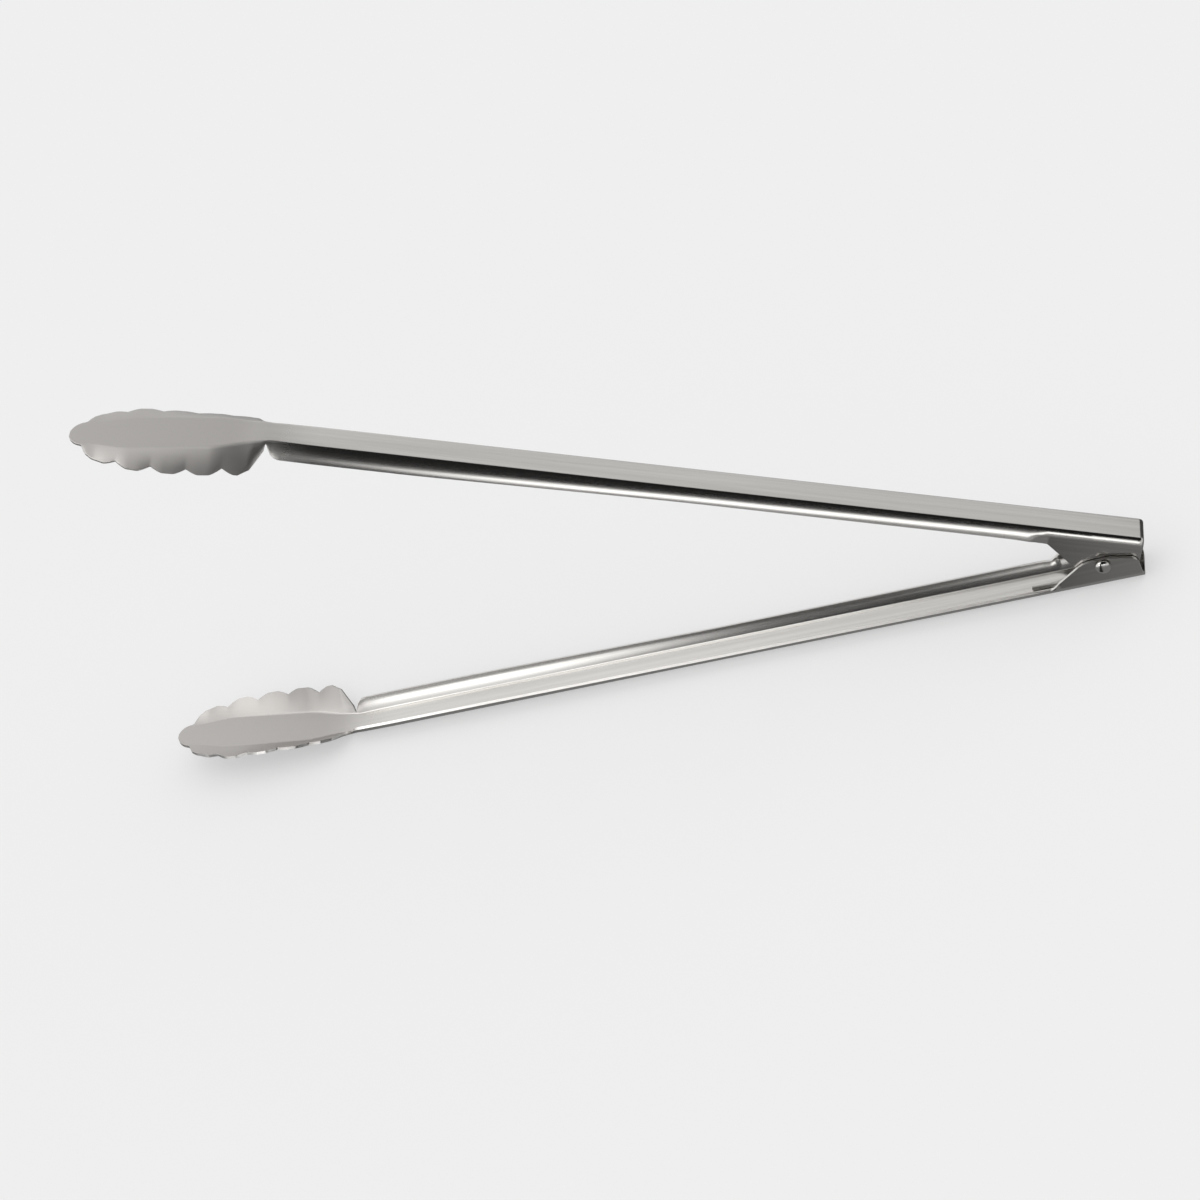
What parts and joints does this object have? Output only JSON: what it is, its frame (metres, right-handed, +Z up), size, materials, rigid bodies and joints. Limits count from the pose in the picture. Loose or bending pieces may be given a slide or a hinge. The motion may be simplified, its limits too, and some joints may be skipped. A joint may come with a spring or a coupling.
{
  "type": "spring loaded kitchen tongs",
  "caption": "Long stainless kitchen tongs: two pressed trough-shaped arms with scalloped heads, hinged on a rivet at the back and held open by a torsion spring.",
  "frame": {"origin": "under the middle of the open tongs, on the surface that the flat back of the lower arm rests on", "axes": "+X from the heads towards the hinge, along the lower arm; +Y across the arms, along the hinge axis; +Z up"},
  "size_m": [0.4082, 0.0348, 0.1816],
  "materials": {
    "satin_stainless": "satin stainless sheet, brushed lengthwise",
    "polished_stainless": "polished stainless",
    "spring_wire": "drawn stainless spring wire"
  },
  "bodies": {
    "lower": {"lower_arm": "satin_stainless", "pivot_rivet": "polished_stainless", "torsion_spring": "spring_wire"},
    "upper": {"upper_arm": "satin_stainless"}
  },
  "joints": [
    {"name": "arm_hinge", "type": "hinge", "parent": "lower", "child": "upper", "pos_m": [0.18694, 0, 0.0122], "axis": [0, -1, 0], "range_deg": [0, 25.1], "stiffness_Nm_per_rad": 1, "springref_deg": -28.65, "deforming": ["torsion_spring"]}
  ]
}
